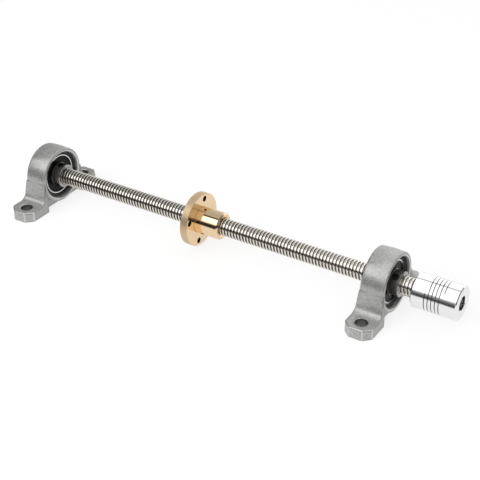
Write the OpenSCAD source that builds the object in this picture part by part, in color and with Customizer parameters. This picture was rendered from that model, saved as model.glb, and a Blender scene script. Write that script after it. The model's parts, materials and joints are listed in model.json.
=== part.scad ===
// Trapezoidal lead screw assembly: a 10 mm screw in two pillow block bearings, with a brass
// flange nut on it and a helical beam coupling on its end.
// Millimetres, +Z up. The screw runs along +X towards the coupling. The origin lies between the
// bolt holes of the left bearing block, on the surface that the feet stand on.

/* [Screw] */
// Outside diameter of the thread
screw_d = 10; // [8:0.5:10.5]
// Pitch of the thread: the distance from one crest to the next
thread_pitch = 2; // [1.5:0.5:3]
// Depth of the thread
thread_depth = 1.25; // [0.8:0.05:1.7]
// Width of the thread's flat crest
thread_crest = 0.73; // [0.4:0.01:1.2]
// Reach of a sloping flank along the screw
thread_flank = 0.33; // [0.2:0.01:0.6]
// Plain length between the chamfer and the first groove at both ends of the screw
thread_start = 0.2; // [0.1:0.1:2]
// How far the screw's free end lies behind the middle of the left block
screw_tail = 8; // [5:0.5:12]
// Chamfer at both ends of the screw
screw_chamfer = 1; // [0.2:0.1:2]

/* [Bearing blocks] */
// Distance between the middles of the two blocks
block_span = 224; // [200:1:230]
// Height of the screw's axis above the floor
axis_h = 18; // [17.5:0.5:24]
// Outside diameter of the cast ring
ring_d = 34; // [32:0.5:36]
// Width of the cast ring along the screw
ring_w = 14; // [12:0.5:15]
// Rounding of the ring's outer edges
ring_edge_r = 0.8; // [0.3:0.1:1.2]
// Draft of the ring: radius lost from its middle to its faces
ring_draft = 0.3; // [0:0.05:0.6]
// Overall length of the foot, across the screw
foot_l = 67; // [62:0.5:76]
// Width of the foot along the screw
foot_w = 16; // [15:0.5:20]
// Thickness of the foot
foot_t = 6; // [4:0.5:8]
// Chamfer of the foot's corners, seen from above
foot_corner = 4; // [2:0.5:5]
// Distance between the two pads of the foot
pad_gap = 32; // [28:0.5:33]
// Distance from the middle of a bolt hole to the end of the foot
bolt_inset = 7; // [5:0.5:8]
// Diameter of the bolt holes
bolt_d = 7; // [5:0.5:8]
// Width of a shoulder outside the ring, where it meets the fillet
shoulder_out = 1.2; // [0.4:0.1:2]
// Fillet between shoulder and foot
shoulder_fillet = 4.5; // [1:0.5:5]
// Thickness of the web between the shoulders, along the screw
web_t = 10; // [9.5:0.5:11]
// Height of the relief under the web
relief_h = 1; // [0.5:0.1:2]

/* [Bearing insert] */
// Diameter of the outer ring's ball-shaped outside
insert_d = 26; // [25:0.5:27]
// Width of the outer ring
outer_ring_w = 9; // [8.5:0.1:9.4]
// Width of the mouth of the seat at the ring's face, as a diameter
mouth_d = 30; // [28.5:0.1:30.4]
// Diameter of the step inside the mouth
mouth_step_d = 27; // [26.2:0.1:27.8]
// Depth of the cone of the mouth
mouth_depth = 1.4; // [0.5:0.1:1.6]
// Narrow end of the inner ring, from the middle of the block
inner_back = 4; // [3.8:0.1:4.2]
// Wide end of the inner ring, from the middle of the block
inner_front = 10; // [9.6:0.1:12]
// Outside diameter of the inner ring beside the balls
inner_shoulder_d = 14.8; // [14.6:0.1:15]
// Outside diameter of the inner ring's collar
collar_d = 14; // [13.8:0.1:14.4]
// Chamfer of the inner ring's edges
inner_chamfer = 0.35; // [0.1:0.05:0.5]
// Diameter of a ball
ball_d = 4.76; // [4.5:0.01:4.8]
// Diameter of the circle through the balls' centres
pitch_d = 17.8; // [17.7:0.05:18]
// Number of balls in each bearing
ball_count = 7; // [5:1:8]
// Diameter of the outer ring inside, beside the balls
outer_shoulder_d = 20.8; // [20.4:0.1:21]
// Radial thickness of the ball cage
cage_t = 1.9; // [1.2:0.1:2.2]
// Reach of the cage's closed rim, from the middle of the balls
cage_rim = 3; // [2.9:0.05:3.1]
// Reach of the cage's fingers on the other side
cage_fingers = 1; // [0.6:0.1:1.4]
// Outside diameter of the seals
seal_d = 22.2; // [21.6:0.1:22.6]
// Inner face of the seals, from the middle of the balls
seal_in = 3.5; // [3.45:0.05:3.6]
// Thickness of the seals at their rims
seal_t = 0.7; // [0.5:0.05:0.8]
// Width of the thick rim and lip of the seals
seal_edge = 0.5; // [0.3:0.05:0.8]
// Diameter of the grub screws in the collar
ring_grub_d = 4; // [3:0.5:4]
// Distance of these grub screws from the collar's end
ring_grub_inset = 2.8; // [2.5:0.1:3]
// Angle of the left block's first grub screw round the axis
left_grub_angle = 96; // [0:1:359]
// Angle of the right block's first grub screw round the axis
right_grub_angle = 123; // [0:1:359]
// Angle between the two grub screws of a collar
ring_grub_spread = 120; // [90:1:120]
// How far these grub screws stand proud of the collar
ring_grub_proud = 0.4; // [0.1:0.1:1]

/* [Flange nut] */
// Place of the flange's front face along the screw
nut_x = 108.3; // [60:0.5:150]
// Diameter of the flange
flange_d = 31; // [30:0.5:33]
// Thickness of the flange
flange_t = 4.5; // [3:0.1:6]
// Diameter of the barrel and of the hub behind the flange
barrel_d = 15.6; // [14:0.1:17]
// Length of the barrel in front of the flange
barrel_l = 15; // [8:0.5:20]
// Length of the hub behind the flange
hub_l = 1.5; // [0.5:0.1:3]
// Distance from the middle of a flange hole to the flange's edge
nut_hole_inset = 3; // [2.5:0.1:3.5]
// Diameter of the flange's holes
nut_hole_d = 3.5; // [3:0.1:4]
// Number of holes in the flange
nut_hole_count = 4; // [3:1:6]
// Angle of the first hole round the axis
nut_hole_angle = 75; // [0:1:359]
// Chamfer of the nut's edges
nut_chamfer = 0.5; // [0.1:0.1:0.8]
// Chamfer at both mouths of the nut's bore
nut_mouth = 1; // [0.3:0.1:1.5]

/* [Coupling] */
// Gap between the right block's foot and the coupling
coupling_gap = 10; // [6:0.5:12]
// Length of the screw's end inside the coupling
coupling_grip = 10; // [8:0.5:11]
// Outside diameter of the coupling
coupling_d = 19; // [18:0.5:25]
// Length of the coupling
coupling_l = 25; // [24:0.5:30]
// Bore for the motor's shaft
motor_bore_d = 8; // [5:0.5:8]
// Pitch of the helical slit
slit_pitch = 2; // [1.8:0.05:2.1]
// Turns of the helical slit
slit_turns = 4.95; // [4:0.05:5]
// Width of the helical slit
slit_w = 0.45; // [0.3:0.05:0.6]
// Angle round the axis at which the slit starts
slit_angle = 150; // [0:1:359]
// Diameter of the relieved bore inside the slit turns
relief_d = 11; // [10.8:0.1:12]
// How far the relieved bore runs past the slit at each end
relief_over = 0.8; // [0.5:0.1:1]
// Chamfer of the coupling's outer edges
coupling_chamfer = 0.5; // [0.2:0.1:1]
// Chamfer at the mouths of the coupling's bores
coupling_mouth = 0.3; // [0.1:0.1:0.6]
// Diameter of the coupling's grub screws
coupling_grub_d = 3; // [2.5:0.5:3]
// Distance of the grub screws from the coupling's ends
coupling_grub_inset = 3.5; // [2.5:0.1:3.8]
// Angle of the first of the two grub screws at each end
coupling_grub_angle = 270; // [0:1:359]
// Angle between the two grub screws at one end
coupling_grub_spread = 90; // [60:1:180]
// How far the grub screws' heads lie under the surface
coupling_grub_sunk = 0.4; // [0.1:0.1:1]
// How far the grub screws on the motor's side stand back from its shaft
coupling_grub_open = 0.3; // [0.1:0.1:0.8]

/* [Fits] */
// Radial gap of pieces that are pressed or clamped together
fit_gap = 0.02; // [0.01:0.01:0.03]
// Radial gap of the nut on the screw
nut_gap = 0.05; // [0.03:0.01:0.1]
// Gap between balls and the grooves they run in
race_gap = 0.05; // [0.02:0.01:0.08]
// Gap between balls and the cage's pockets
pocket_gap = 0.1; // [0.05:0.01:0.15]
// Gap between a seal's lip and the inner ring
lip_gap = 0.04; // [0.02:0.01:0.1]
// Gap round a grub screw in its hole
grub_gap = 0.05; // [0.03:0.01:0.1]

/* [Hidden] */
$fn = 96;
// Overlap of cutting tools past the faces they cut
cut = 1;

screw_r = screw_d / 2;
ring_r = ring_d / 2;
seat_r = insert_d / 2;
pitch_r = pitch_d / 2;
ball_r = ball_d / 2;
groove_r = ball_r + race_gap;
inner_bore_r = screw_r + fit_gap;
shoulder_y = ring_r + shoulder_out;
side_r = ring_r - ring_draft;
ring_face_r = ring_r - ring_draft - ring_edge_r;
collar_step = outer_ring_w / 2;
seal_out = seal_in + seal_t;
coupling_x = block_span + foot_w / 2 + coupling_gap;
screw_l = screw_tail + coupling_x + coupling_grip;
bolt_span = foot_l - 2 * bolt_inset;
nut_pcd = flange_d - 2 * nut_hole_inset;
slit_l = slit_turns * slit_pitch;
slit_x = coupling_x + (coupling_l - slit_l) / 2;
relief_l = slit_l + slit_w + 2 * relief_over;
relief_x = coupling_x + (coupling_l - relief_l) / 2;
slit_steps = 24;
thread_steps = 11;
thread_root_r = screw_r - thread_depth;
groove_w = thread_pitch - thread_crest;
groove_x = screw_chamfer + thread_start;
groove_count = floor((screw_l - 2 * groove_x - groove_w) / thread_pitch);

// Turns a shape that was made round the Z axis to lie round the screw's axis, at place x
module on_axis(x = 0) {
    translate([x, 0, axis_h]) rotate([0, 90, 0]) children();
}

// Places a shape that stands on the Z axis on a spoke round the screw's axis.
// Angle 0 points along +Y and 90 points up.
module on_spoke(x, angle, r) {
    translate([x, 0, axis_h]) rotate([angle - 90, 0, 0]) translate([0, 0, r]) children();
}

// A bar turned round its axis, with a chamfer at both ends
module turned_bar(r, l, chamfer) {
    rotate_extrude() polygon([
        [0, 0], [r - chamfer, 0], [r, chamfer], [r, l - chamfer], [r - chamfer, l], [0, l],
    ]);
}

// A cutter for a bore of radius r from 0 to l, with a chamfer at its mouth at 0
module mouth_bore(r, l, chamfer) {
    rotate_extrude() polygon([
        [0, -cut], [r + chamfer + cut, -cut], [r, chamfer], [r, l], [0, l],
    ]);
}

// A grub screw from radius r_tip to r_head on its spoke, with a coned tip and a hexagon socket
module grub_screw(d, r_tip, r_head) {
    tip = d / 8;
    socket = d / 2;
    socket_depth = d / 3;
    difference() {
        union() {
            translate([0, 0, r_tip]) cylinder(h = tip, r1 = d / 2 - tip, r2 = d / 2);
            translate([0, 0, r_tip + tip]) cylinder(h = r_head - r_tip - tip, d = d);
        }
        translate([0, 0, r_head - socket_depth])
            cylinder(h = d, d = socket / cos(30), $fn = 6);
    }
}

// Bearing block

// The foot seen from above, with chamfered corners
module foot_plan() {
    x = foot_w / 2;
    y = foot_l / 2;
    c = foot_corner;
    polygon([[x, c - y], [x, y - c], [x - c, y], [c - x, y], [-x, y - c], [-x, c - y],
        [c - x, -y], [x - c, -y]]);
}

// The two pads of the foot
module foot_pads() {
    difference() {
        linear_extrude(foot_t) foot_plan();
        cube([foot_w + 2 * cut, pad_gap, 4 * foot_t], center = true);
    }
}

// One shoulder seen along the screw: from the pad up to where it touches the ring as a
// tangent, with its fillet
module shoulder_side() {
    drop = axis_h - foot_t - shoulder_fillet;
    touch = acos(side_r / norm([shoulder_y, drop])) - atan2(drop, shoulder_y);
    difference() {
        polygon([
            [pad_gap / 2, 0], [shoulder_y + shoulder_fillet, 0],
            [shoulder_y + shoulder_fillet, foot_t + shoulder_fillet],
            [shoulder_y, foot_t + shoulder_fillet],
            [side_r * cos(touch), axis_h + side_r * sin(touch)], [pad_gap / 2, axis_h],
        ]);
        translate([shoulder_y + shoulder_fillet, foot_t + shoulder_fillet])
            circle(r = shoulder_fillet);
    }
}

// Both shoulders, as wide as the foot at the bottom and as wide as the ring at the axis
module shoulders() {
    intersection() {
        for (side = [0, 1])
            mirror([0, side, 0]) translate([-foot_w, 0, 0]) rotate([90, 0, 90])
                linear_extrude(2 * foot_w) shoulder_side();
        rotate([90, 0, 0]) linear_extrude(2 * foot_l, center = true) polygon([
            [-foot_w / 2, 0], [foot_w / 2, 0], [foot_w / 2, foot_t],
            [ring_w / 2, axis_h], [-ring_w / 2, axis_h], [-foot_w / 2, foot_t],
        ]);
    }
}

// The cast ring as a full disc, drafted from its middle and rounded at its edges
module ring_disc() {
    edge_x = ring_w / 2 - ring_edge_r;
    rotate_extrude() {
        polygon([
            [0, -ring_w / 2], [ring_face_r, -ring_w / 2], [ring_face_r + ring_edge_r, -edge_x],
            [ring_r, 0], [ring_face_r + ring_edge_r, edge_x], [ring_face_r, ring_w / 2],
            [0, ring_w / 2],
        ]);
        for (side = [-1, 1])
            translate([ring_face_r, side * edge_x]) circle(r = ring_edge_r);
    }
}

// What is cut out of the ring: the ball-shaped seat and a stepped mouth on both sides
module seat_cutter() {
    step_x = outer_ring_w / 2;
    cone_x = ring_w / 2 - mouth_depth;
    slope = (mouth_d - mouth_step_d) / 2 / mouth_depth;
    sphere(r = seat_r);
    for (side = [0, 1])
        mirror([0, 0, side]) rotate_extrude() polygon([
            [0, step_x], [mouth_step_d / 2, step_x], [mouth_step_d / 2, cone_x],
            [mouth_d / 2 + slope * cut, ring_w / 2 + cut], [0, ring_w / 2 + cut],
        ]);
}

module housing(x) {
    color([0.6, 0.61, 0.6]) translate([x, 0, 0]) difference() {
        union() {
            foot_pads();
            shoulders();
            translate([-web_t / 2, -pad_gap / 2 - cut, relief_h])
                cube([web_t, pad_gap + 2 * cut, axis_h - relief_h]);
            on_axis() ring_disc();
        }
        on_axis() seat_cutter();
        for (side = [-1, 1])
            translate([0, side * bolt_span / 2, -cut]) cylinder(h = foot_t + 2 * cut, d = bolt_d);
    }
}

// Bearing insert

module outer_ring(x) {
    color([0.75, 0.76, 0.77]) on_axis(x) rotate_extrude() difference() {
        intersection() {
            circle(r = seat_r - fit_gap);
            translate([outer_shoulder_d / 2, -outer_ring_w / 2])
                square([seat_r, outer_ring_w]);
        }
        translate([pitch_r, 0]) circle(r = groove_r);
        for (side = [0, 1])
            mirror([0, side]) translate([0, seal_in]) square([seal_d / 2, outer_ring_w]);
    }
}

module inner_ring(x, grub_angle) {
    c = inner_chamfer;
    shoulder = inner_shoulder_d / 2;
    collar = collar_d / 2;
    color([0.32, 0.32, 0.33]) difference() {
        on_axis(x) rotate_extrude() difference() {
            polygon([
                [inner_bore_r, c - inner_back], [inner_bore_r + c, -inner_back],
                [shoulder - c, -inner_back], [shoulder, c - inner_back],
                [shoulder, collar_step], [collar, collar_step],
                [collar, inner_front - c], [collar - c, inner_front],
                [inner_bore_r + c, inner_front], [inner_bore_r, inner_front - c],
            ]);
            translate([pitch_r, 0]) circle(r = groove_r);
        }
        for (a = [0, ring_grub_spread])
            on_spoke(x + inner_front - ring_grub_inset, grub_angle + a, 0)
                cylinder(h = inner_shoulder_d, d = ring_grub_d);
    }
}

module collar_grub_screws(x, grub_angle) {
    color([0.08, 0.08, 0.08]) for (a = [0, ring_grub_spread])
        on_spoke(x + inner_front - ring_grub_inset, grub_angle + a, 0)
            grub_screw(ring_grub_d - 2 * grub_gap, screw_r + fit_gap, collar_d / 2 + ring_grub_proud);
}

module ball_places() {
    for (i = [0 : ball_count - 1])
        rotate([0, 0, i * 360 / ball_count]) translate([pitch_r, 0, 0]) children();
}

module balls(x) {
    color([0.85, 0.85, 0.87]) on_axis(x) ball_places() sphere(d = ball_d);
}

// A crown cage: a closed rim on one side of the balls and fingers between them
module ball_cage(x) {
    color([0.85, 0.8, 0.65]) on_axis(x) difference() {
        rotate_extrude() translate([pitch_r - cage_t / 2, -cage_fingers])
            square([cage_t, cage_rim + cage_fingers]);
        ball_places() sphere(d = ball_d + 2 * pocket_gap);
    }
}

// A rubber seal: thick at its rim and its lip, thinner between them. side is 0 or 1.
module seal(x, side) {
    lip = inner_shoulder_d / 2 + lip_gap;
    rim = seal_d / 2 - fit_gap;
    edge = seal_edge;
    sunk = seal_t / 4;
    color([0.05, 0.05, 0.05]) on_axis(x) mirror([0, 0, side]) rotate_extrude() polygon([
        [lip, seal_in], [lip + edge, seal_in], [lip + edge, seal_in + sunk],
        [rim - edge, seal_in + sunk], [rim - edge, seal_in], [rim, seal_in],
        [rim, seal_out], [rim - edge, seal_out], [rim - edge, seal_out - sunk],
        [lip + edge, seal_out - sunk], [lip + edge, seal_out], [lip, seal_out],
    ]);
}

// Screw, nut and coupling

// A point of the screw on row j: at length x along it and radius r
function screw_point(j, x, r) =
    let (a = j * 360 / thread_steps) [x, r * cos(a), r * sin(a)];

// The line of one row, from end to end: chamfer, edge, four points per groove, edge, chamfer.
// A groove lies a step further along on each row, and a whole pitch further after one turn.
function screw_row(j) = concat(
    [screw_point(j, 0, screw_r - screw_chamfer), screw_point(j, screw_chamfer, screw_r)],
    [for (g = [0 : groove_count - 1])
        let (x = groove_x + (g + j / thread_steps) * thread_pitch)
        each [
            screw_point(j, x, screw_r), screw_point(j, x + thread_flank, thread_root_r),
            screw_point(j, x + groove_w - thread_flank, thread_root_r),
            screw_point(j, x + groove_w, screw_r),
        ]],
    [screw_point(j, screw_l - screw_chamfer, screw_r),
     screw_point(j, screw_l, screw_r - screw_chamfer)]);

// The screw as one solid, made from rows along it. Between the last row and the first, each
// groove goes on in the next one, and the first and last grooves end in a flat face.
module lead_screw() {
    last = thread_steps - 1;
    row_l = 4 * groove_count + 4;
    points = [for (j = [0 : last]) each screw_row(j)];
    sides = [for (j = [0 : last - 1], k = [0 : row_l - 2])
        let (a = j * row_l + k, b = a + row_l) each [[a, a + 1, b + 1], [a, b + 1, b]]];
    z = last * row_l;
    seam = [for (k = [2 : row_l - 8])
        each [[z + k, z + k + 1, k + 5], [z + k, k + 5, k + 4]]];
    groove_ends = [[5, 4, 3, 2], [z + row_l - 6, z + row_l - 5, z + row_l - 4, z + row_l - 3]];
    seam_ends = [
        [z, z + 1, 1, 0], [z + 1, z + 2, 6, 5, 2, 1],
        [z + row_l - 7, z + row_l - 6, z + row_l - 3, z + row_l - 2, row_l - 2, row_l - 3],
        [z + row_l - 2, z + row_l - 1, row_l - 1, row_l - 2],
    ];
    caps = [[for (j = [0 : last]) j * row_l], [for (j = [last : -1 : 0]) (j + 1) * row_l - 1]];
    color([0.8, 0.79, 0.76]) translate([-screw_tail, 0, axis_h])
        polyhedron(points = points,
            faces = concat(sides, seam, groove_ends, seam_ends, caps), convexity = 10);
}

module flange_nut() {
    c = nut_chamfer;
    bore = screw_r + nut_gap;
    m = nut_mouth;
    back = -flange_t - hub_l;
    color([0.86, 0.68, 0.45]) difference() {
        on_axis(nut_x) rotate_extrude() polygon([
            [bore, back + m], [bore + m, back], [barrel_d / 2 - c, back],
            [barrel_d / 2, back + c], [barrel_d / 2, -flange_t], [flange_d / 2 - c, -flange_t],
            [flange_d / 2, -flange_t + c], [flange_d / 2, -c], [flange_d / 2 - c, 0],
            [barrel_d / 2, 0], [barrel_d / 2, barrel_l - c], [barrel_d / 2 - c, barrel_l],
            [bore + m, barrel_l], [bore, barrel_l - m],
        ]);
        for (i = [0 : nut_hole_count - 1])
            on_spoke(nut_x, nut_hole_angle + i * 360 / nut_hole_count, nut_pcd / 2)
                rotate([0, 90, 0]) cylinder(h = 4 * flange_t, d = nut_hole_d, center = true);
    }
}

// One corner of the slit's section at step i: radius r, and side -1 or 1 of its middle
function slit_corner(i, r, side) =
    let (a = slit_angle + i * 360 / slit_steps)
    [slit_x + i * slit_pitch / slit_steps + side * slit_w / 2,
     r * cos(a), axis_h + r * sin(a)];

// The helical slit as a solid: a flat section that winds round the axis, right-handed
module helical_slit() {
    r_in = relief_d / 2 - cut / 2;
    r_out = coupling_d / 2 + cut / 2;
    n = round(slit_turns * slit_steps);
    points = [for (i = [0 : n]) each [
        slit_corner(i, r_in, -1), slit_corner(i, r_out, -1),
        slit_corner(i, r_out, 1), slit_corner(i, r_in, 1),
    ]];
    sides = [for (i = [0 : n - 1], k = [0 : 3])
        let (a = 4 * i + k, b = 4 * i + (k + 1) % 4)
        each [[a, b, b + 4], [a, b + 4, a + 4]]];
    polyhedron(points = points, faces = concat([[3, 2, 1, 0]], sides,
        [[4 * n, 4 * n + 1, 4 * n + 2, 4 * n + 3]]));
}

module coupling_grub_places(end_x) {
    for (a = [0, coupling_grub_spread]) on_spoke(end_x, coupling_grub_angle + a, 0) children();
}

module shaft_coupling() {
    end_x = coupling_x + coupling_l;
    color([0.88, 0.89, 0.9]) difference() {
        on_axis(coupling_x) turned_bar(coupling_d / 2, coupling_l, coupling_chamfer);
        on_axis(coupling_x) mouth_bore(inner_bore_r, coupling_l / 2, coupling_mouth);
        translate([end_x, 0, axis_h]) rotate([0, -90, 0])
            mouth_bore(motor_bore_d / 2, coupling_l / 2, coupling_mouth);
        on_axis(relief_x) cylinder(h = relief_l, d = relief_d);
        helical_slit();
        for (x = [coupling_x + coupling_grub_inset, end_x - coupling_grub_inset])
            coupling_grub_places(x) cylinder(h = coupling_d, d = coupling_grub_d);
    }
}

module coupling_grub_screws(x, tip_r) {
    color([0.1, 0.1, 0.1]) coupling_grub_places(x)
        grub_screw(coupling_grub_d - 2 * grub_gap, tip_r, coupling_d / 2 - coupling_grub_sunk);
}

lead_screw();
flange_nut();
housing(0);  // left_housing
housing(block_span);  // right_housing
outer_ring(0);  // left_outer_ring
outer_ring(block_span);  // right_outer_ring
inner_ring(0, left_grub_angle);  // left_inner_ring
inner_ring(block_span, right_grub_angle);  // right_inner_ring
balls(0);  // left_balls
balls(block_span);  // right_balls
ball_cage(0);  // left_ball_cage
ball_cage(block_span);  // right_ball_cage
seal(0, 0);  // left_front_seal
seal(block_span, 0);  // right_front_seal
seal(0, 1);  // left_rear_seal
seal(block_span, 1);  // right_rear_seal
collar_grub_screws(0, left_grub_angle);  // left_collar_grub_screws
collar_grub_screws(block_span, right_grub_angle);  // right_collar_grub_screws
shaft_coupling();
coupling_grub_screws(coupling_x + coupling_grub_inset, screw_r + fit_gap);  // screw_side_grub_screws
coupling_grub_screws(coupling_x + coupling_l - coupling_grub_inset,  // motor_side_grub_screws
        motor_bore_d / 2 + coupling_grub_open);
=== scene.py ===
"""Trapezoidal lead screw assembly: the visible pieces, their finishes and the studio."""

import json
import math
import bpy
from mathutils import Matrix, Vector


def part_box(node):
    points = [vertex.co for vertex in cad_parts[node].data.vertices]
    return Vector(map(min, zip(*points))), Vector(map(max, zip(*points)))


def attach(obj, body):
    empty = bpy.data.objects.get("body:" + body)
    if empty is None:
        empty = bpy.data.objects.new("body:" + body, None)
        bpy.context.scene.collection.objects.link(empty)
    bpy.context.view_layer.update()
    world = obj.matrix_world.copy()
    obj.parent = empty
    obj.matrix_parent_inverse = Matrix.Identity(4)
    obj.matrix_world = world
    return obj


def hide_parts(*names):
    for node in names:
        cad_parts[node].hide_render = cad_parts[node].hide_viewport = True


bl_info = {
    "name": "Lead screw assembly",
    "version": (1, 0, 0),
    "blender": (4, 5, 0),
    "location": "3D View > Sidebar > Lead screw",
    "description": "Builds a trapezoidal lead screw with its nut, bearing blocks and coupling",
    "category": "Object",
}

import bpy
from bpy.props import FloatProperty, FloatVectorProperty, IntProperty, PointerProperty
from mathutils import Matrix, Vector

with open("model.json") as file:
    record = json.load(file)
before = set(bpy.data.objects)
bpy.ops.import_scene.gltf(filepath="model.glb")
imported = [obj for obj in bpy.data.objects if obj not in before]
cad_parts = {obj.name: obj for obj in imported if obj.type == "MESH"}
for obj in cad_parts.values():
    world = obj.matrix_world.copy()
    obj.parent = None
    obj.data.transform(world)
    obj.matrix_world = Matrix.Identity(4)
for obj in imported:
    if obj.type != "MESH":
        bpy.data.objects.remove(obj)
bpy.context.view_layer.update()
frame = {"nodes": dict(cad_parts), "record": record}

SCREW_LOW, SCREW_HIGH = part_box("lead_screw")
NUT_LOW, NUT_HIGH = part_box("flange_nut")
AXIS_Z = (SCREW_LOW.z + SCREW_HIGH.z) / 2

# How finely pieces are drawn, and how close two points count as one
TURN_STEPS = 96
CORNER_STEPS = 4
HOLE_STEPS = 40
SAME_POINT = 0.000001
SAME_CAST_POINT = 0.00002
NEAR_HOLE = 0.0001
FLAT_ANGLE = math.radians(0.5)
LONGEST_CORNER = 0.45  # share of a side that one rounded corner may take

# Degrees between faces that are still shaded as one surface, and the depth of tool marks
TURNED_ANGLE = 35
CAST_ANGLE = 24
TOOL_MARK_DEPTH = 0.00002

# Where a casting's edges are rounded: near its ring's rims, and on the outer ends of its feet
# but not underneath
RIM_BAND = 0.00015
FOOT_START = 0.0235
FOOT_TOP = 0.0061
FOOT_BOTTOM = 0.0005

# Panels and dark cards round the object, as (share of the way from front to back, level):
# the ones towards the left end of the screw and the ones over the rest
LEFT_PANELS = (
    (0.0, 0.02), (0.07, 0.02), (0.1, 0.1), (0.135, 0.4), (0.165, 1.7), (0.385, 1.7),
    (0.4, 0.03), (0.46, 0.03), (0.475, 0.42), (0.7, 0.45), (1.0, 0.6),
)
OTHER_PANELS = (
    (0.0, 0.05), (0.055, 0.1), (0.11, 0.3), (0.15, 0.8), (0.165, 1.0), (0.565, 0.95),
    (0.58, 0.3), (0.61, 0.3), (0.625, 0.92), (1.0, 0.9),
)
# Where the left ones fade into the others, from -1 at the left end to 1 at the right end
FADE_START, FADE_END = -0.43, -0.36
# Levels of all panels from the left end to the right end, and their strength
LENGTHWISE = (
    (0.0, 0.12), (0.1, 0.24), (0.2, 0.66), (0.3, 0.93), (0.6, 0.93), (0.66, 1.0), (0.71, 1.0),
    (0.76, 0.2),
)
PANEL_STRENGTH = 1.4

# The floor: where it turns dark for reflections, towards the front, and how it glows
FLOOR_SIZE = 8
FLOOR_DARK, FLOOR_PALE = -0.16, -0.08
FLOOR_GLOW = 1.04
GLOW_SHARE = 0.75

# The fill light
FILL_PLACE = (0.05, -1.2, 0.7)
FILL_TILT = math.radians(60)
FILL_SIZE = 1.2
FILL_WATTS = 12

# The camera
AZIMUTH = math.radians(32.133)
ELEVATION = math.radians(31.247)
TARGET = Vector((0.13391, 0, 0.01274))
DISTANCE = 0.66603
SENSOR_WIDTH = 36
FOCAL_PIXELS = 1189.713
PICTURE_PIXELS = 480


# Sizes and colours


def length(name, description, default):
    return FloatProperty(
        name=name, description=description, default=default, unit="LENGTH", precision=5, min=0
    )


def colour(name, description, default):
    return FloatVectorProperty(
        name=name, description=description, default=default, size=3, subtype="COLOR", min=0, max=1
    )


class ThreadSizes(bpy.types.PropertyGroup):
    diameter: length("Diameter", "Outside diameter of the thread", 0.01)
    pitch: length("Pitch", "Distance from one crest to the next", 0.002)
    starts: IntProperty(name="Starts", description="Number of thread starts", default=1, min=1)
    depth: length("Depth", "Depth of the thread", 0.00125)
    crest: length("Crest", "Width of the flat crest", 0.00073)
    flank: length("Flank", "Reach of one sloping flank along the screw", 0.00033)
    edge: length("Edge", "Rounding of the crest's edges", 0.00006)
    chamfer: length("End chamfer", "Chamfer at the screw's ends", 0.001)
    phase: length("Phase", "Shift of the thread along the screw", 0.000335)
    steps: IntProperty(name="Steps", description="Facets round one turn", default=40, min=12)


class NutSizes(bpy.types.PropertyGroup):
    flange_diameter: length("Flange", "Diameter of the flange", NUT_HIGH.y - NUT_LOW.y)
    flange_thickness: length("Flange thickness", "Thickness of the flange", 0.0045)
    barrel_diameter: length("Barrel", "Diameter of the barrel", 0.0156)
    hub_length: length("Hub length", "Length of the hub behind the flange", 0.0015)
    hole_circle: length("Hole circle", "Diameter of the circle through the holes", 0.025)
    hole_diameter: length("Hole", "Diameter of a hole in the flange", 0.0035)
    hole_count: IntProperty(name="Holes", description="Number of holes", default=4, min=1)
    hole_angle: FloatProperty(
        name="Hole angle", description="Angle of the first hole round the axis",
        default=math.radians(75), subtype="ANGLE",
    )
    edge: length("Edge", "Rounding of the turned edges", 0.0003)
    undercut: length("Undercut", "Depth of the groove between the barrel and the flange", 0.00025)
    front_chamfer: length("Front chamfer", "Chamfer at the barrel's front end", 0.0008)
    mouth: length("Mouth", "Chamfer at the mouths of the bore", 0.001)
    thread_gap: length("Thread gap", "Clearance between the threads", 0.00012)
    bore_gap: length("Bore gap", "Clearance between the bore and the screw's root", 0.0004)


class HousingSizes(bpy.types.PropertyGroup):
    edge: length("Edge", "Rounding of the casting's edges", 0.00045)
    rim_diameter: length("Rim", "Diameter of the ring's mouth at its face", 0.03)
    edge_angle: FloatProperty(
        name="Edge angle", description="Edges sharper than this are rounded",
        default=math.radians(32), subtype="ANGLE",
    )
    bolt_span: length("Bolt span", "Distance between a block's two bolt holes", 0.053)
    bolt_hole: length("Bolt hole", "Diameter of a bolt hole", 0.007)


class Finishes(bpy.types.PropertyGroup):
    zinc: colour("Cast zinc", "Colour of the bearing housings", (0.44, 0.44, 0.43))
    steel: colour("Screw steel", "Colour of the lead screw", (0.86, 0.83, 0.77))
    brass: colour("Brass", "Colour of the nut", (0.95, 0.72, 0.46))
    aluminium: colour("Aluminium", "Colour of the coupling", (0.97, 0.975, 0.98))
    race: colour("Bearing steel", "Colour of the outer rings", (0.80, 0.80, 0.80))
    oxide: colour("Black oxide", "Colour of inner rings and grub screws", (0.036, 0.035, 0.034))
    rubber: colour("Rubber", "Colour of the seals", (0.004, 0.004, 0.004))
    nylon: colour("Nylon", "Colour of the ball cages", (0.78, 0.72, 0.55))


# Helpers for modelling


def deselect():
    if bpy.context.object and bpy.context.object.mode != "OBJECT":
        bpy.ops.object.mode_set(mode="OBJECT")
    bpy.ops.object.select_all(action="DESELECT")


def pick(obj):
    deselect()
    obj.select_set(True)
    bpy.context.view_layer.objects.active = obj


def start_line(name, point):
    """A new mesh with one selected vertex at the point, in edit mode."""
    deselect()
    bpy.ops.mesh.primitive_plane_add(size=0.001, location=point)
    obj = bpy.context.object
    obj.name = obj.data.name = name
    bpy.ops.object.transform_apply(location=True, rotation=True, scale=True)
    bpy.ops.object.mode_set(mode="EDIT")
    bpy.ops.mesh.select_mode(type="VERT")
    bpy.ops.mesh.select_all(action="SELECT")
    bpy.ops.mesh.merge(type="CENTER")
    return obj


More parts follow.
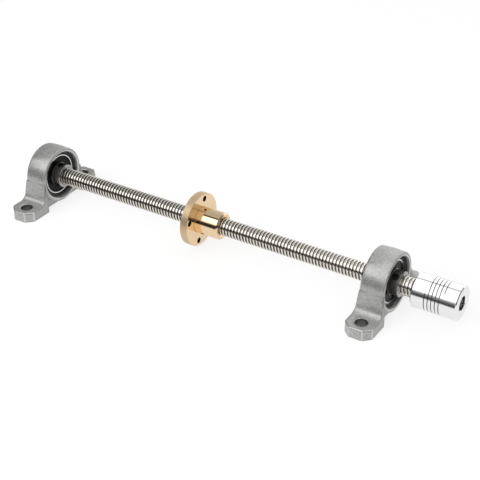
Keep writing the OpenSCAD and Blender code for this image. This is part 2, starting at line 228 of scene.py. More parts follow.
def draw_outline(name, points, close):
    """Draws a line through points given as (place along the screw, radius), in edit mode."""
    points = [Vector((x, 0, AXIS_Z + r)) for x, r in points]
    obj = start_line(name, points[0])
    for before, after in zip(points, points[1:]):
        bpy.ops.mesh.extrude_region_move(TRANSFORM_OT_translate={"value": after - before})
    if close:
        bpy.ops.object.mode_set(mode="OBJECT")
        for v in obj.data.vertices:
            v.select = v.index in (0, len(points) - 1)
        bpy.ops.object.mode_set(mode="EDIT")
        bpy.ops.mesh.edge_face_add()
    return obj


def clean_up():
    """In edit mode: joins doubled vertices and turns all faces outwards."""
    bpy.ops.mesh.select_all(action="SELECT")
    bpy.ops.mesh.remove_doubles(threshold=SAME_POINT)
    bpy.ops.mesh.normals_make_consistent(inside=False)


def turn(name, points):
    """A turned piece: the outline is spun once round the screw's axis."""
    obj = draw_outline(name, points, close=True)
    bpy.ops.mesh.select_all(action="SELECT")
    bpy.ops.mesh.spin(
        steps=TURN_STEPS, angle=2 * math.pi, center=(0, 0, AXIS_Z), axis=(1, 0, 0))
    clean_up()
    bpy.ops.object.mode_set(mode="OBJECT")
    return obj


def apply_modifiers(obj):
    pick(obj)
    for modifier in list(obj.modifiers):
        bpy.ops.object.modifier_apply(modifier=modifier.name)


def combine(obj, other, how):
    """Adds the second closed piece to the first one or cuts it out of it. The second one goes."""
    modifier = obj.modifiers.new(how.title(), "BOOLEAN")
    modifier.operation = how
    modifier.solver = "EXACT"
    modifier.object = other
    apply_modifiers(obj)
    bpy.data.objects.remove(other, do_unlink=True)


def smooth(obj, angle, turned=True):
    """Smooth shading. On turned pieces large faces stay flat, so that reflections are straight."""
    pick(obj)
    bpy.ops.object.shade_smooth_by_angle(angle=math.radians(angle))
    if not turned:
        return
    even = obj.modifiers.new("Even shading", "WEIGHTED_NORMAL")
    even.mode = "FACE_AREA"
    even.weight = 80
    even.keep_sharp = True
    apply_modifiers(obj)


def rounded(corners):
    """A closed outline with round corners, given as (place along the screw, radius, rounding)."""
    result = []
    points = [Vector(corner[:2]) for corner in corners]
    for i, (here, corner) in enumerate(zip(points, corners)):
        rounding = corner[2]
        back = points[i - 1] - here
        ahead = points[(i + 1) % len(points)] - here
        if rounding <= 0:
            result.append(tuple(here))
            continue
        half = back.angle(ahead) / 2
        reach = min(rounding / math.tan(half), LONGEST_CORNER * back.length,
                    LONGEST_CORNER * ahead.length)
        start, end = here + back.normalized() * reach, here + ahead.normalized() * reach
        for k in range(CORNER_STEPS + 1):
            t = k / CORNER_STEPS
            result.append(tuple((1 - t) ** 2 * start + 2 * t * (1 - t) * here + t * t * end))
    return result


def mark_edges(obj, angle, rim):
    """Marks the edges of a casting that get rounded and a painted highlight: its feet's outer ends
    and its ring's rims.
    """
    pick(obj)
    bpy.ops.object.mode_set(mode="EDIT")
    bpy.ops.mesh.select_mode(type="EDGE")
    bpy.ops.mesh.select_all(action="DESELECT")
    bpy.ops.mesh.edges_select_sharp(sharpness=angle)
    bpy.ops.object.mode_set(mode="OBJECT")
    weights = obj.data.attributes.new("bevel_weight_edge", "FLOAT", "EDGE")
    for edge in obj.data.edges:
        ends = [obj.data.vertices[i].co for i in edge.vertices]
        on_rim = all(abs(math.hypot(v.y, v.z - AXIS_Z) - rim) < RIM_BAND for v in ends)
        on_foot = all(abs(v.y) > FOOT_START and v.z < FOOT_TOP for v in ends)
        underneath = max(v.z for v in ends) <= FOOT_BOTTOM
        rounded_and_highlit = edge.select and (on_rim or (on_foot and not underneath))
        weights.data[edge.index].value = 1.0 if rounded_and_highlit else 0.0


def paint_holes(obj, material, holes, along, reach):
    """Gives the walls of round holes their own material, which paints shade into them.

    holes are points on the holes' axes, which run along the axis of that number.
    """
    obj.data.materials.append(material)
    index = len(obj.data.materials) - 1
    for face in obj.data.polygons:
        if abs(face.normal[along]) < 0.5:
            for hole in holes:
                off = face.center - hole
                off[along] = 0
                if off.length < reach:
                    face.material_index = index


def finish_piece(obj, body, slot, material, *replaced):
    """Gives a piece its finish and its body, and hides the source's nodes that it stands for; its
    slot is not used.
    """
    if obj.data.materials:
        obj.data.materials[0] = material
    else:
        obj.data.materials.append(material)
    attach(obj, body)
    if replaced:
        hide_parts(*replaced)


# Helpers for finishes


def add(tree, kind, inputs=None, **settings):
    """Adds a node, with its inputs set to values or linked to the outputs of other nodes."""
    node = tree.nodes.new(kind)
    for key, value in settings.items():
        setattr(node, key, value)
    for key, value in (inputs or {}).items():
        if isinstance(value, bpy.types.NodeSocket):
            tree.links.new(value, node.inputs[key])
        else:
            node.inputs[key].default_value = value
    return node


def new_group(name, inputs, outputs):
    """A node group with float inputs, given as {name: default}, and float outputs."""
    tree = bpy.data.node_groups.new(name, "ShaderNodeTree")
    for key, value in inputs.items():
        socket = tree.interface.new_socket(key, in_out="INPUT", socket_type="NodeSocketFloat")
        socket.default_value = value
    for key in outputs:
        tree.interface.new_socket(key, in_out="OUTPUT", socket_type="NodeSocketFloat")
    return tree, tree.nodes.new("NodeGroupInput"), tree.nodes.new("NodeGroupOutput")


def place(tree, group, inputs):
    """Adds the node group of that name to a tree."""
    node = tree.nodes.new("ShaderNodeGroup")
    node.node_tree = bpy.data.node_groups[group]
    for key, value in inputs.items():
        node.inputs[key].default_value = value
    return node


def split_place(tree, space="Object"):
    """The place of a shaded point, as the outputs X, Y and Z."""
    place_of = add(tree, "ShaderNodeTexCoord").outputs[space]
    return add(tree, "ShaderNodeSeparateXYZ", {0: place_of})


def distance_from_axis(tree):
    """The place along the screw and the distance from its axis, in metres."""
    split = split_place(tree)
    up = add(tree, "ShaderNodeMath", {0: split.outputs["Z"], 1: -AXIS_Z}, operation="ADD")
    flat = add(tree, "ShaderNodeCombineXYZ", {"Y": split.outputs["Y"], "Z": up.outputs[0]})
    radius = add(tree, "ShaderNodeVectorMath", {0: flat.outputs[0]}, operation="LENGTH")
    return split.outputs["X"], radius.outputs["Value"]


def tool_marks_group():
    """Fine grooves left by turning: rings round the axis on sides and on end faces."""
    tree, given, out = new_group(
        "Tool marks", {"Fineness": 9000.0, "Depth": 1.0}, ["Height", "Streaks"])
    spot, radius = distance_from_axis(tree)
    along = add(tree, "ShaderNodeMath", {0: spot, 1: radius}, operation="ADD")
    w = add(tree, "ShaderNodeMath", {0: along.outputs[0], 1: given.outputs["Fineness"]},
            operation="MULTIPLY")
    fine = add(tree, "ShaderNodeTexNoise", {"W": w.outputs[0], "Scale": 1.0, "Detail": 2.0},
               noise_dimensions="1D")
    tree.links.new(fine.outputs[0], out.inputs["Streaks"])
    deep = add(tree, "ShaderNodeMath", {0: fine.outputs[0], 1: given.outputs["Depth"]},
               operation="MULTIPLY")
    tree.links.new(deep.outputs[0], out.inputs["Height"])


def radius_group():
    """How far a point is from the screw's axis, as a share between two radii."""
    tree, given, out = new_group(
        "Distance from axis", {"Inner": 0.003, "Outer": 0.005}, ["Share"])
    share = add(tree, "ShaderNodeMapRange", {
        "Value": distance_from_axis(tree)[1],
        "From Min": given.outputs["Inner"], "From Max": given.outputs["Outer"]})
    tree.links.new(share.outputs[0], out.inputs["Share"])


def cloud_group():
    """Soft uneven patches, as handling, oil or casting leave on metal, and small specks."""
    tree, given, out = new_group("Clouds", {"Size": 250.0, "Contrast": 1.0}, ["Patches", "Specks"])
    place_of = add(tree, "ShaderNodeTexCoord").outputs["Object"]
    patches = add(tree, "ShaderNodeTexNoise", {
        "Vector": place_of, "Scale": given.outputs["Size"], "Detail": 4.0, "Roughness": 0.6})
    middle = add(tree, "ShaderNodeMath", {0: patches.outputs[0], 1: 0.5}, operation="SUBTRACT")
    spread = add(tree, "ShaderNodeMath", {0: middle.outputs[0], 1: given.outputs["Contrast"]},
                 operation="MULTIPLY")
    back = add(tree, "ShaderNodeMath", {0: spread.outputs[0], 1: 0.5}, operation="ADD",
               use_clamp=True)
    tree.links.new(back.outputs[0], out.inputs["Patches"])
    fine = add(tree, "ShaderNodeMath", {0: given.outputs["Size"], 1: 14.0}, operation="MULTIPLY")
    grains = add(tree, "ShaderNodeTexNoise", {
        "Vector": place_of, "Scale": fine.outputs[0], "Detail": 3.0})
    specks = add(tree, "ShaderNodeMapRange", {
        "Value": grains.outputs[0], "From Min": 0.62, "From Max": 0.72})
    tree.links.new(specks.outputs[0], out.inputs["Specks"])


def new_material(name):
    material = bpy.data.materials.new(name)
    material.use_nodes = True
    tree = material.node_tree
    tree.nodes.clear()
    shader = add(tree, "ShaderNodeBsdfPrincipled")
    add(tree, "ShaderNodeOutputMaterial", {"Surface": shader.outputs[0]})
    return material, tree, shader


def vary_colour(tree, shader, mask, dark, light):
    """Colours a surface between two tones, as a mask says."""
    mix = add(tree, "ShaderNodeMix", {"Factor": mask}, data_type="RGBA")
    mix.inputs["A"].default_value = (*dark, 1)
    mix.inputs["B"].default_value = (*light, 1)
    tree.links.new(mix.outputs["Result"], shader.inputs["Base Color"])


def vary_roughness(tree, shader, mask, low, high):
    """Makes a surface more or less glossy, as a mask says."""
    spread = add(tree, "ShaderNodeMapRange", {"Value": mask, "To Min": low, "To Max": high})
    tree.links.new(spread.outputs[0], shader.inputs["Roughness"])


def add_bump(tree, shader, height, strength, distance):
    bump = add(tree, "ShaderNodeBump", {
        "Height": height, "Strength": strength, "Distance": distance})
    tree.links.new(bump.outputs[0], shader.inputs["Normal"])
    return bump


def shade_by_radius(tree, shader, inner, outer, stops):
    """Multiplies the shader's colour by levels given as (distance from the axis, level)."""
    depth = place(tree, "Distance from axis", {"Inner": inner, "Outer": outer})
    ramp = add(tree, "ShaderNodeValToRGB", {0: depth.outputs["Share"]})
    set_ramp(ramp, [((radius - inner) / (outer - inner), level) for radius, level in stops])
    source = shader.inputs["Base Color"].links[0].from_socket
    mix = add(tree, "ShaderNodeMix", data_type="RGBA", blend_type="MULTIPLY")
    mix.inputs["Factor"].default_value = 1.0
    tree.links.new(source, mix.inputs["A"])
    tree.links.new(ramp.outputs[0], mix.inputs["B"])
    tree.links.new(mix.outputs["Result"], shader.inputs["Base Color"])


def set_ramp(ramp, stops):
    """Sets a colour ramp to grey stops given as (place, level)."""
    while len(ramp.color_ramp.elements) < len(stops):
        ramp.color_ramp.elements.new(1.0)
    for stop, (spot, level) in zip(ramp.color_ramp.elements, stops):
        stop.position = spot
        stop.color = (level, level, level, 1)


def scaled(colour_value, factor):
    return [min(1.0, c * factor) for c in colour_value]


def turned_metal(name, base, roughness, fineness=9000.0, bump=0.12):
    """A turned metal: rings of tool marks in its gloss, faint uneven patches in its colour."""
    material, tree, shader = new_material(name)
    shader.inputs["Metallic"].default_value = 1.0
    cuts = place(tree, "Tool marks", {"Fineness": fineness})
    patches = place(tree, "Clouds", {"Size": 180.0, "Contrast": 1.0})
    vary_colour(
        tree, shader, patches.outputs["Patches"], scaled(base, 0.9), scaled(base, 1.06))
    vary_roughness(tree, shader, cuts.outputs["Streaks"], roughness * 0.75, roughness * 1.3)
    add_bump(tree, shader, cuts.outputs["Height"], bump, TOOL_MARK_DEPTH)
    return material


def turned_finishes(values):
    """The screw, the nut with its drilled holes, the coupling and the outer rings."""
    made = {
        "screw_steel": turned_metal("Rolled screw steel", values.steel, 0.12, 5000.0, 0.1),
        "nut_brass": turned_metal("Turned brass", values.brass, 0.11, 7000.0, 0.06),
        "coupling_aluminium": turned_metal(
            "Turned aluminium", values.aluminium, 0.13, 8000.0, 0.1),
        "bearing_steel": turned_metal("Ground bearing steel", values.race, 0.14, 9000.0, 0.05),
        # The nut's hole walls: brass at a tenth of its colour, as painted shade
        "hole_shade_brass": turned_metal("Drilled brass with painted shade", scaled(values.brass, 0.1), 0.4),
    }
    # Painted shade darkens the thread's flanks; painted shade darkens the outer rings, which stay
    # bright only at their lips
    for slot, inner, outer, stops in (
            ("screw_steel", 0.0037, 0.005,
             [(0.0038, 0.9), (0.0043, 0.3), (0.0047, 0.5), (0.00493, 1.0)]),
            # Painted shade in the gaps beside the outer rings' bright lips
            ("bearing_steel", 0.011, 0.013,
             [(0.01145, 0.06), (0.01155, 1.0), (0.01195, 1.0), (0.01208, 0.1)])):
        tree = made[slot].node_tree
        shade_by_radius(tree, tree.nodes["Principled BSDF"], inner, outer, stops)
    # The nut's rim is left as turned, with a satin skin
    tree = made["nut_brass"].node_tree
    shader = tree.nodes["Principled BSDF"]
    rim = place(tree, "Distance from axis", {"Inner": 0.0151, "Outer": 0.0153})
    gloss = shader.inputs["Roughness"].links[0].from_socket
    duller = add(tree, "ShaderNodeMath", {0: rim.outputs["Share"], 1: 0.36, 2: gloss},
                 operation="MULTIPLY_ADD")
    tree.links.new(duller.outputs[0], shader.inputs["Roughness"])
    shade_by_radius(tree, shader, 0.0151, 0.0153, [(0.0151, 1.0), (0.0153, 0.8)])
    return made


def casting_finishes(values):
    """The castings' skin with painted shade in the ring's mouth, their edges with a painted
    highlight and their drilled holes with painted shade.
    """
    made = {}
    # Die-cast zinc: mottled grey skin, satin, with fine grain
    material, tree, shader = new_material("Cast zinc")
    shader.inputs["Metallic"].default_value = 0.72
    skin = place(tree, "Clouds", {"Size": 1000.0, "Contrast": 2.2})
    vary_colour(tree, shader, skin.outputs["Patches"],
                scaled(values.zinc, 0.75), scaled(values.zinc, 1.25))
    # Painted shade: the ring's mouth and seat are darkened towards the axis
    shade_by_radius(tree, shader, 0.0125, 0.0155,
                    [(0.01345, 0.06), (0.0136, 0.32), (0.0149, 0.42), (0.01505, 1.0)])
    vary_roughness(tree, shader, skin.outputs["Patches"], 0.26, 0.38)
    grain = add(tree, "ShaderNodeTexNoise", {
        "Vector": add(tree, "ShaderNodeTexCoord").outputs["Object"],
        "Scale": 1300.0, "Detail": 4.0, "Roughness": 0.65})
    soft = place(tree, "Clouds", {"Size": 120.0, "Contrast": 1.0})
    height = add(tree, "ShaderNodeMath", {
        0: soft.outputs["Patches"], 1: 2.0, 2: grain.outputs[0]}, operation="MULTIPLY_ADD")
    grain_bump = add_bump(tree, shader, height.outputs[0], 0.6, 0.0001)
    # Corners of the casting blend softly into each other
    blended = add(tree, "ShaderNodeBevel", {"Radius": 0.0015}, samples=6)
    tree.links.new(blended.outputs[0], grain_bump.inputs["Normal"])
    made["cast_zinc"] = material
    # The casting's edges, glossier and lighter in colour as a painted highlight, and its drilled
    # holes, darker as painted shade
    for slot, name, factor, low, high in (
            ("highlit_edge_zinc", "Zinc edge with painted highlight", 1.5, 0.14, 0.22),
            ("hole_shade_zinc", "Drilled zinc with painted shade", 0.4, 0.35, 0.5)):
        material, tree, shader = new_material(name)
        shader.inputs["Metallic"].default_value = 0.9
        skin = place(tree, "Clouds", {"Size": 420.0, "Contrast": 1.6})
        base = scaled(values.zinc, factor)
        vary_colour(tree, shader, skin.outputs["Patches"], scaled(base, 0.8), scaled(base, 1.1))
        vary_roughness(tree, shader, skin.outputs["Patches"], low, high)
        made[slot] = material
    return made


def bearing_finishes(values):
    """The inner rings and grub screws, the balls, the cages and the seals."""
    made = {}
    # Black oxide on the inner rings and grub screws
    for slot, name, roughness, lift in (
            ("dark_steel", "Blackened bearing steel", 0.2, 11.0),
            ("black_steel", "Black oxide steel", 0.38, 1.0)):
        material, tree, shader = new_material(name)
        shader.inputs["Metallic"].default_value = 0.85
        film = place(tree, "Clouds", {"Size": 300.0, "Contrast": 1.0})
        base = scaled(values.oxide, lift)
        vary_colour(tree, shader, film.outputs["Patches"], scaled(base, 0.8), scaled(base, 1.3))
        vary_roughness(tree, shader, film.outputs["Patches"], roughness * 0.8, roughness * 1.25)
        if slot == "dark_steel":
            shade_by_radius(
                tree, shader, 0.005, 0.0075,
                [(0.0052, 1.0), (0.0066, 1.0), (0.0069, 0.75), (0.0071, 0.7), (0.0073, 0.12)])
        cuts = place(tree, "Tool marks", {"Fineness": 6000.0})
        add_bump(tree, shader, cuts.outputs["Height"], 0.1, TOOL_MARK_DEPTH)
        made[slot] = material
    # Polished balls
    material, tree, shader = new_material("Polished ball steel")
    shader.inputs["Metallic"].default_value = 1.0
    film = place(tree, "Clouds", {"Size": 400.0, "Contrast": 0.6})
    vary_colour(tree, shader, film.outputs["Patches"], (0.74, 0.75, 0.77), (0.84, 0.85, 0.87))
    vary_roughness(tree, shader, film.outputs["Patches"], 0.04, 0.09)
    made["ball_steel"] = material
    # Moulded nylon and nitrile rubber
    for slot, name, base, low, high, sheen in (
            ("cage_nylon", "Moulded nylon", values.nylon, 0.4, 0.55, 0.5),
            ("seal_rubber", "Nitrile rubber", values.rubber, 0.26, 0.38, 0.12)):
        material, tree, shader = new_material(name)
        film = place(tree, "Clouds", {"Size": 500.0, "Contrast": 1.2})
        vary_colour(tree, shader, film.outputs["Patches"], scaled(base, 0.8), scaled(base, 1.4))
        vary_roughness(tree, shader, film.outputs["Patches"], low, high)
        add_bump(tree, shader, film.outputs["Specks"], 0.1, TOOL_MARK_DEPTH)
        shader.inputs["Specular IOR Level"].default_value = sheen
        made[slot] = material
    return made


def make_finishes(values):
    """All finishes of the object, as {slot name: material}."""
    tool_marks_group()
    cloud_group()
    radius_group()
    return {**turned_finishes(values), **casting_finishes(values), **bearing_finishes(values)}


finishes = {}


# Pieces


def thread_bar(name, sizes, grow=0.0, low=None, high=None):
    """A threaded bar along the screw's axis. For cutting a nut, grow widens it all round."""
    top = sizes.diameter / 2 + grow
    root = sizes.diameter / 2 - sizes.depth + grow
    widening = 0.7  # how far a grown crest reaches to each side, as a share of grow
    crest = sizes.crest + 2 * grow * widening
    e = sizes.edge
    low = SCREW_LOW.x if low is None else low
    high = SCREW_HIGH.x if high is None else high
    pitch = sizes.pitch
    # Wound past both ends, and cut to length below
    turns = math.ceil((high - low) / pitch) + 3
    first = math.floor((low - 1.5 * pitch) / pitch) * pitch + sizes.phase
    half_root = (pitch - crest - 2 * sizes.flank) / 2
    rise = half_root + sizes.flank
    outline = [
        (0, root), (half_root, root), (rise - e, top - e), (rise + e, top),
        (rise + crest - e, top), (rise + crest + e, top - e), (pitch - half_root, root),
        (pitch, root),
    ]
    obj = draw_outline(name, [(first + x, r) for x, r in outline], close=False)
    bpy.ops.object.mode_set(mode="OBJECT")
    obj.data.transform(Matrix.Translation((0, 0, -AXIS_Z)))
    wind = obj.modifiers.new("Wind", "SCREW")
    wind.axis = "X"
    wind.angle = 2 * math.pi
    wind.screw_offset = pitch * sizes.starts
    wind.iterations = math.ceil(turns / sizes.starts)
    wind.steps = wind.render_steps = sizes.steps
    wind.use_merge_vertices = True
    wind.merge_threshold = SAME_POINT
    apply_modifiers(obj)
    obj.data.transform(Matrix.Translation((0, 0, AXIS_Z)))
    pick(obj)
    bpy.ops.object.mode_set(mode="EDIT")
    clean_up()
    for x, inner in ((low, True), (high, False)):
        bpy.ops.mesh.select_all(action="SELECT")
        bpy.ops.mesh.bisect(plane_co=(x, 0, AXIS_Z), plane_no=(1, 0, 0), use_fill=True,
                            clear_inner=inner, clear_outer=not inner, threshold=0.0000001)
    clean_up()
    bpy.ops.object.mode_set(mode="OBJECT")
    return obj


class LEADSCREW_OT_make_screw(bpy.types.Operator):
    """Winds the trapezoidal thread and chamfers the screw's ends"""

    bl_idname = "leadscrew.make_screw"
    bl_label = "Lead screw"

    def execute(self, context):
        sizes = context.scene.screw_thread
        screw = thread_bar("threaded_screw", sizes)
        axis = Vector((0, 0, AXIS_Z))
        for v in screw.data.vertices:
            end = min(v.co.x - SCREW_LOW.x, SCREW_HIGH.x - v.co.x)
            off = Vector((0, v.co.y, v.co.z - AXIS_Z))
            most = sizes.diameter / 2 - max(0.0, sizes.chamfer - end)
            if off.length > most:
                off *= most / off.length
                v.co.yz = (axis + off).yz
        smooth(screw, TURNED_ANGLE)
        finish_piece(screw, "screw", "screw_steel", finishes["screw_steel"], "lead_screw")
        return {"FINISHED"}


class LEADSCREW_OT_make_nut(bpy.types.Operator):
    """Turns the flange nut, drills its flange and cuts its thread"""

    bl_idname = "leadscrew.make_nut"
    bl_label = "Flange nut"

    def execute(self, context):
        sizes = context.scene.screw_nut
        thread = context.scene.screw_thread
        face = NUT_LOW.x + sizes.hub_length + sizes.flange_thickness
        behind = face - sizes.flange_thickness
        bore = thread.diameter / 2 - thread.depth + sizes.bore_gap
        m = sizes.mouth + thread.diameter / 2 - bore
        barrel = sizes.barrel_diameter / 2
        flange = sizes.flange_diameter / 2
        neck, groove = barrel - sizes.undercut, face + 1.5 * sizes.undercut
        slope = sizes.front_chamfer
        back, front = NUT_LOW.x, NUT_HIGH.x
        e = sizes.edge
        nut = turn("threaded_nut", rounded([
            (back + m, bore, 0), (back, bore + m, e / 2), (back, barrel, e),
            (behind, barrel, e / 2), (behind, flange, e), (face, flange, e),
            (face, neck, 0), (groove, neck, 0), (groove, barrel, e / 4),
            (front - slope, barrel, e / 4), (front, barrel - slope, e / 4),
            (front, bore + m, e / 2), (front - m, bore, 0),
        ]))
        holes = []
        for i in range(sizes.hole_count):
            a = sizes.hole_angle + i * 2 * math.pi / sizes.hole_count
            y = math.cos(a) * sizes.hole_circle / 2
            z = AXIS_Z + math.sin(a) * sizes.hole_circle / 2
            deselect()
            bpy.ops.mesh.primitive_cylinder_add(
                vertices=HOLE_STEPS, radius=sizes.hole_diameter / 2,
                depth=4 * sizes.flange_thickness, rotation=(0, math.pi / 2, 0),
                location=(face - sizes.flange_thickness / 2, y, z))
            combine(nut, bpy.context.object, "DIFFERENCE")
            holes.append(Vector((0, y, z)))
        over = thread.pitch / 2
        cutter = thread_bar("thread_cutter", thread, sizes.thread_gap, back - over, front + over)
        combine(nut, cutter, "DIFFERENCE")
        smooth(nut, TURNED_ANGLE)
        nut.data.materials.clear()
        nut.data.materials.append(finishes["nut_brass"])
        # The nut's hole walls get painted shade
        paint_holes(nut, finishes["hole_shade_brass"], holes, 0, sizes.hole_diameter / 2 + NEAR_HOLE)
        finish_piece(nut, "nut", "nut_brass", finishes["nut_brass"], "flange_nut")
        return {"FINISHED"}


class LEADSCREW_OT_make_housings(bpy.types.Operator):
    """Gives both castings their rounded edges"""

    bl_idname = "leadscrew.make_housings"
    bl_label = "Bearing housings"

    def execute(self, context):
        sizes = context.scene.screw_housing
        for side in ("left", "right"):
            pick(frame["nodes"][side + "_housing"])
            bpy.ops.object.duplicate()
            casting = context.object
            casting.name = casting.data.name = side + "_casting"
            # The copy drops the marks of the source's node
            for key in list(casting.keys()):
                del casting[key]
            casting.parent = None
            casting.data.materials.clear()
            # The second material paints a highlight on the rounded edges
            for slot in ("cast_zinc", "highlit_edge_zinc"):
                casting.data.materials.append(finishes[slot])
            bpy.ops.object.mode_set(mode="EDIT")
            bpy.ops.mesh.select_all(action="SELECT")
            bpy.ops.mesh.remove_doubles(threshold=SAME_CAST_POINT)
            bpy.ops.mesh.dissolve_limited(angle_limit=FLAT_ANGLE)
            bpy.ops.object.mode_set(mode="OBJECT")
            mark_edges(casting, sizes.edge_angle, sizes.rim_diameter / 2)
            round_off = casting.modifiers.new("Round off", "BEVEL")
            round_off.width = sizes.edge
            # The rounded faces take the material with the painted highlight
            round_off.material = 1
            round_off.use_clamp_overlap = False
            round_off.segments = 3
            round_off.limit_method = "WEIGHT"
            apply_modifiers(casting)
            smooth(casting, CAST_ANGLE, turned=False)
            low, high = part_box(side + "_housing")
            middle = (low + high) / 2
            bolts = [Vector((middle.x, sign * sizes.bolt_span / 2, 0)) for sign in (-1, 1)]
            # The bolt holes' walls get painted shade
            paint_holes(
                casting, finishes["hole_shade_zinc"], bolts, 2, sizes.bolt_hole / 2 + NEAR_HOLE)
            finish_piece(casting, "frame", "cast_zinc", finishes["cast_zinc"], side + "_housing")
        return {"FINISHED"}


class LEADSCREW_OT_finish_bearings(bpy.types.Operator):
    """Gives the inserts, the coupling and the grub screws their finishes"""

    bl_idname = "leadscrew.finish_bearings"
    bl_label = "Bearings and coupling"

    def execute(self, context):
        slots = {part["node"]: part["material_slot"] for part in frame["record"]["subparts"]}
        for name, node in frame["nodes"].items():
            node.data.materials.clear()
            node.data.materials.append(finishes[slots[name]])
        return {"FINISHED"}


def pale_table():
    """White for the camera. What the object reflects of it is darker in front of the object."""
    material = bpy.data.materials.new("Pale table")
    material.use_nodes = True
    tree = material.node_tree
    tree.nodes.clear()
    spot = split_place(tree)
    edge = add(tree, "ShaderNodeMapRange", {
        "Value": spot.outputs["Y"], "From Min": FLOOR_DARK, "From Max": FLOOR_PALE,
        "To Min": 0.03, "To Max": 0.85})
    path = add(tree, "ShaderNodeLightPath")
    camera_ray = path.outputs["Is Camera Ray"]
    seen = add(tree, "ShaderNodeMix", {"Factor": camera_ray, "A": edge.outputs[0], "B": 0.9})
    cloth = add(tree, "ShaderNodeBsdfDiffuse", {"Color": seen.outputs[0]})
    white = add(tree, "ShaderNodeMix", {"Factor": camera_ray, "A": edge.outputs[0], "B": 1.0})
    glow = add(tree, "ShaderNodeEmission", {"Color": white.outputs[0], "Strength": FLOOR_GLOW})
    shows = add(tree, "ShaderNodeMath", {0: camera_ray, 1: path.outputs["Is Glossy Ray"]},
                operation="MAXIMUM")
    clear = add(tree, "ShaderNodeMath", {
        0: shows.outputs[0], 1: path.outputs["Is Transmission Ray"]}, operation="MAXIMUM")
    share = add(tree, "ShaderNodeMath", {0: clear.outputs[0], 1: GLOW_SHARE},
                operation="MULTIPLY")
    both = add(tree, "ShaderNodeMixShader", {
        0: share.outputs[0], 1: cloth.outputs[0], 2: glow.outputs[0]})
    add(tree, "ShaderNodeOutputMaterial", {"Surface": both.outputs[0]})
    return material


def make_floor():
    deselect()
    bpy.ops.mesh.primitive_grid_add(
        size=FLOOR_SIZE, x_subdivisions=2, y_subdivisions=2, location=(0.13, 0, 0))
    floor = bpy.context.object
    floor.name = "studio_floor"
    bpy.ops.object.transform_apply(location=True)
    floor.data.materials.append(pale_table())


def make_world(scene):
    """Pale panels and dark cards for the metals, and plain white for the camera."""
    world = scene.world or bpy.data.worlds.new("Studio")
    scene.world = world
    world.use_nodes = True
    tree = world.node_tree
    tree.nodes.clear()
    way = split_place(tree, "Generated")
    front = add(tree, "ShaderNodeMath", {0: way.outputs["Y"], 1: -1.0}, operation="MULTIPLY")
    angle = add(tree, "ShaderNodeMath", {0: way.outputs["Z"], 1: front.outputs[0]},
                operation="ARCTAN2")
    share = add(tree, "ShaderNodeMath", {0: angle.outputs[0], 1: math.pi}, operation="DIVIDE",
                use_clamp=True)
    along = add(tree, "ShaderNodeMapRange", {
        "Value": way.outputs["X"], "From Min": FADE_START, "From Max": FADE_END})
    panels = add(tree, "ShaderNodeMix", {"Factor": along.outputs[0]}, data_type="RGBA")
    for key, stops in (("A", LEFT_PANELS), ("B", OTHER_PANELS)):
        ramp = add(tree, "ShaderNodeValToRGB", {0: share.outputs[0]})
        set_ramp(ramp, stops)
        tree.links.new(ramp.outputs[0], panels.inputs[key])
    lengthwise = add(tree, "ShaderNodeMapRange", {
        "Value": way.outputs["X"], "From Min": -1.0, "From Max": 1.0})
    ends = add(tree, "ShaderNodeValToRGB", {0: lengthwise.outputs[0]})
    set_ramp(ends, LENGTHWISE)
    bright = add(tree, "ShaderNodeMath", {0: ends.outputs[0], 1: PANEL_STRENGTH},
                 operation="MULTIPLY")
    lit = add(tree, "ShaderNodeVectorMath", {
        0: panels.outputs["Result"], 3: bright.outputs[0]}, operation="SCALE")
    path = add(tree, "ShaderNodeLightPath")
    seen = add(tree, "ShaderNodeMix", {"Factor": path.outputs["Is Camera Ray"]}, data_type="RGBA")
    tree.links.new(lit.outputs[0], seen.inputs["A"])
    seen.inputs["B"].default_value = (1, 1, 1, 1)
    sky = add(tree, "ShaderNodeBackground", {"Color": seen.outputs["Result"], "Strength": 1.0})
    add(tree, "ShaderNodeOutputWorld", {"Surface": sky.outputs[0]})


def make_fill_light():
    """A soft light from the front. Reflections don't show it."""
    bpy.ops.object.light_add(type="AREA", location=FILL_PLACE, rotation=(FILL_TILT, 0, 0))
    fill = bpy.context.object
    fill.name = "studio_fill"
    fill.data.size = FILL_SIZE
    fill.data.energy = FILL_WATTS
    fill.visible_glossy = False


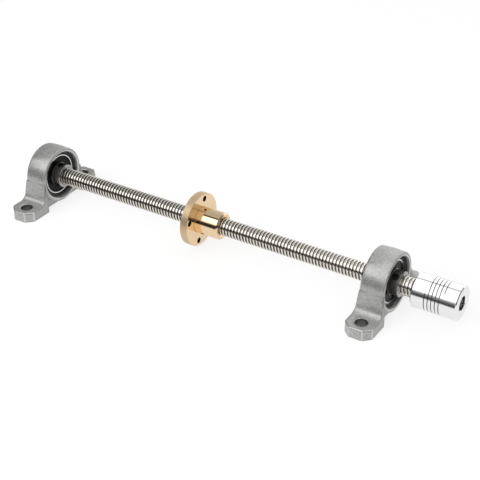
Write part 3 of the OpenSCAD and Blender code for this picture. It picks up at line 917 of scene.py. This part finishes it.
def make_camera(scene):
    level = math.cos(ELEVATION)
    back = Vector((math.sin(AZIMUTH) * level, -math.cos(AZIMUTH) * level, math.sin(ELEVATION)))
    bpy.ops.object.camera_add(location=TARGET + back * DISTANCE)
    camera = bpy.context.object
    camera.name = "studio_camera"
    camera.rotation_mode = "QUATERNION"
    camera.rotation_quaternion = (-back).to_track_quat("-Z", "Y")
    camera.data.sensor_width = SENSOR_WIDTH
    camera.data.lens = SENSOR_WIDTH * FOCAL_PIXELS / PICTURE_PIXELS
    camera.data.clip_start = 0.01
    camera.data.clip_end = 50
    scene.camera = camera


class LEADSCREW_OT_make_studio(bpy.types.Operator):
    """Sets up the floor, the light and the camera"""

    bl_idname = "leadscrew.make_studio"
    bl_label = "Studio"

    def execute(self, context):
        make_floor()
        make_world(context.scene)
        make_fill_light()
        make_camera(context.scene)
        context.scene.view_settings.view_transform = "Standard"
        return {"FINISHED"}


class LEADSCREW_PT_panel(bpy.types.Panel):
    """Lists the pieces"""

    bl_label = "Lead screw"
    bl_idname = "LEADSCREW_PT_panel"
    bl_space_type = "VIEW_3D"
    bl_region_type = "UI"
    bl_category = "Lead screw"

    def draw(self, context):
        for operator in OPERATORS:
            self.layout.operator(operator.bl_idname)


SETTINGS = {
    "screw_thread": ThreadSizes, "screw_nut": NutSizes,
    "screw_housing": HousingSizes, "screw_finishes": Finishes,
}
OPERATORS = (
    LEADSCREW_OT_finish_bearings, LEADSCREW_OT_make_screw, LEADSCREW_OT_make_nut,
    LEADSCREW_OT_make_housings, LEADSCREW_OT_make_studio,
)


def register():
    for cls in (*SETTINGS.values(), *OPERATORS, LEADSCREW_PT_panel):
        bpy.utils.register_class(cls)
    for name, cls in SETTINGS.items():
        setattr(bpy.types.Scene, name, PointerProperty(type=cls))


def unregister():
    for name in SETTINGS:
        delattr(bpy.types.Scene, name)
    for cls in (LEADSCREW_PT_panel, *OPERATORS, *SETTINGS.values()):
        bpy.utils.unregister_class(cls)


def main():
    register()
    finishes.update(make_finishes(bpy.context.scene.screw_finishes))
    bpy.ops.leadscrew.finish_bearings()
    bpy.ops.leadscrew.make_screw()
    bpy.ops.leadscrew.make_nut()
    bpy.ops.leadscrew.make_housings()
    bpy.ops.leadscrew.make_studio()
    deselect()


if __name__ == "__main__":
    main()
